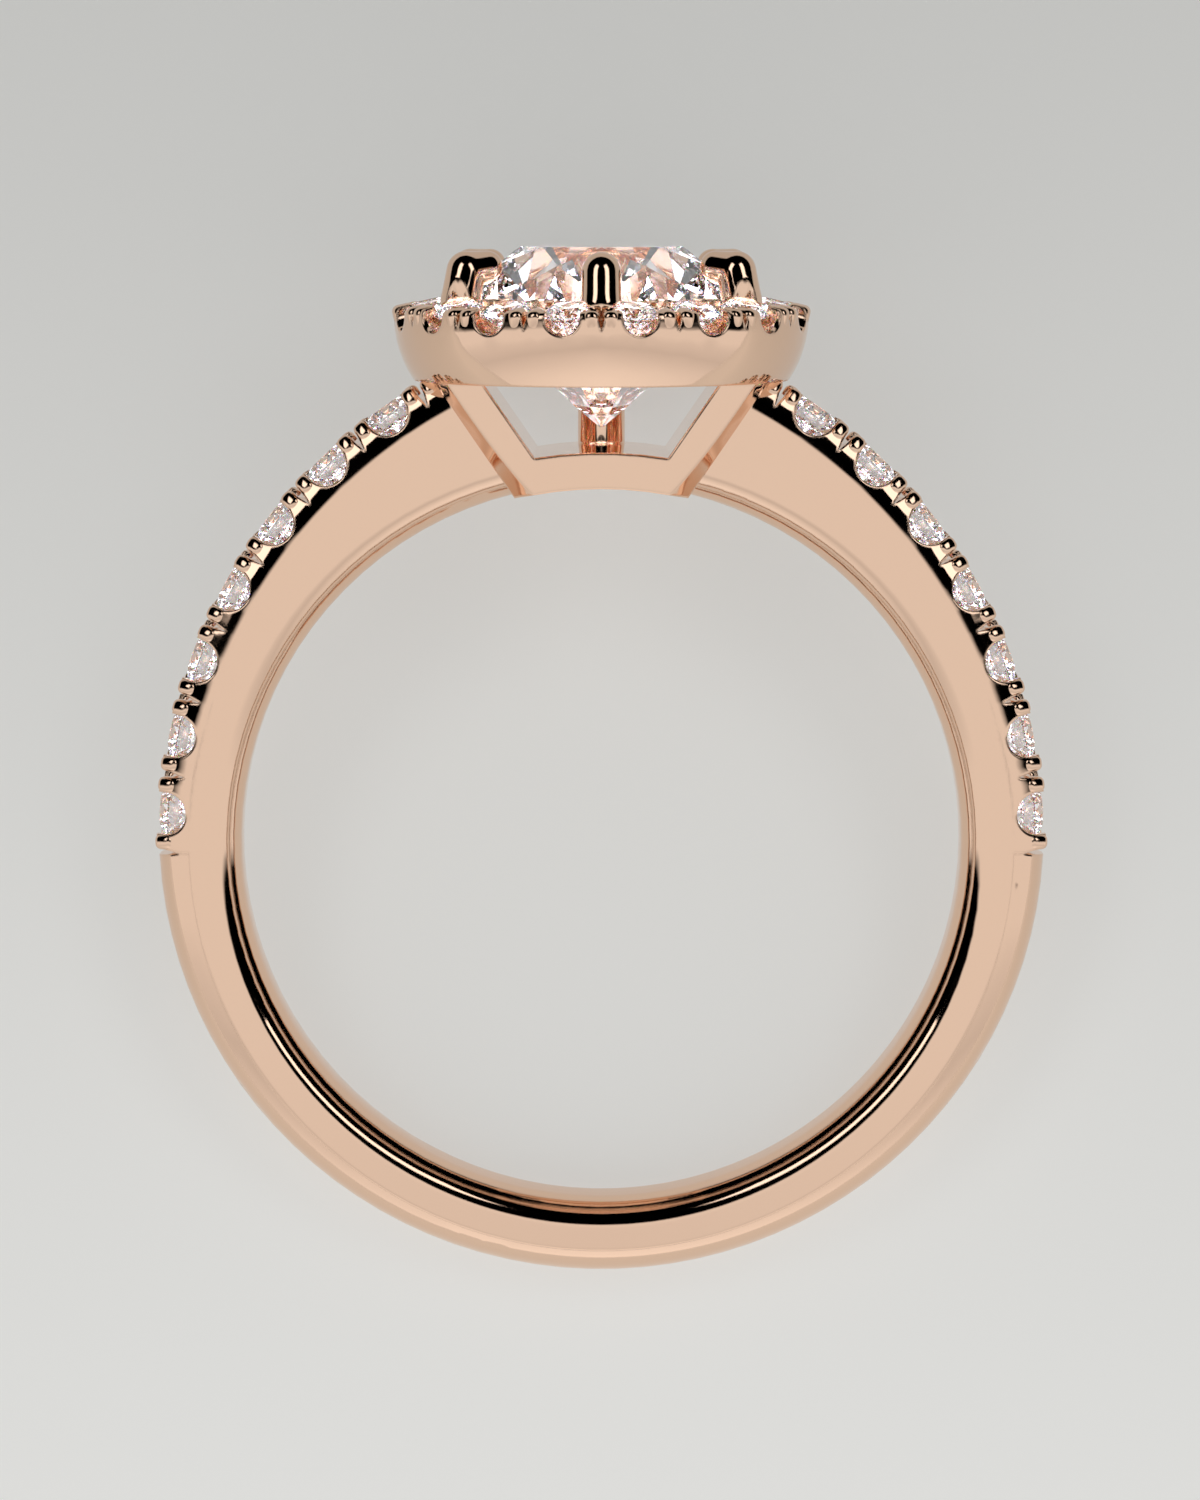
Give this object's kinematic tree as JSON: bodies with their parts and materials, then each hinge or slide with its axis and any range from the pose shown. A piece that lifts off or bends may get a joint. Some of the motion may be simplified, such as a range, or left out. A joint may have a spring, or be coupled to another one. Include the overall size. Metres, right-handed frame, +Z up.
{
  "type": "halo ring",
  "caption": "Rose gold engagement ring with a round brilliant in six claws, a halo of small brilliants in a bowl-shaped cup and brilliants set in scallops down the shoulders.",
  "frame": {"origin": "middle of the finger hole, on its axis and halfway along the shank's width", "axes": "+Y towards the stones, +X across the ring, +Z up from the surface that the ring lies on; the finger hole's axis is tipped 10.05 degrees back from +Z"},
  "size_m": [0.0204, 0.0239, 0.0094],
  "materials": {
    "rose_gold": "polished 14k rose gold",
    "diamond": "brilliant-cut diamond"
  },
  "bodies": {
    "root": {"mounting": "rose_gold", "centre_stone": "diamond", "halo_stone_1": "diamond", "halo_stone_2": "diamond", "halo_stone_3": "diamond", "halo_stone_4": "diamond", "halo_stone_5": "diamond", "halo_stone_6": "diamond", "halo_stone_7": "diamond", "halo_stone_8": "diamond", "halo_stone_9": "diamond", "halo_stone_10": "diamond", "halo_stone_11": "diamond", "halo_stone_12": "diamond", "halo_stone_13": "diamond", "halo_stone_14": "diamond", "halo_stone_15": "diamond", "halo_stone_16": "diamond", "halo_stone_17": "diamond", "shoulder_stone_right_1": "diamond", "shoulder_stone_right_2": "diamond", "shoulder_stone_right_3": "diamond", "shoulder_stone_right_4": "diamond", "shoulder_stone_right_5": "diamond", "shoulder_stone_right_6": "diamond", "shoulder_stone_right_7": "diamond", "shoulder_stone_left_1": "diamond", "shoulder_stone_left_2": "diamond", "shoulder_stone_left_3": "diamond", "shoulder_stone_left_4": "diamond", "shoulder_stone_left_5": "diamond", "shoulder_stone_left_6": "diamond", "shoulder_stone_left_7": "diamond"}
  },
  "joints": []
}
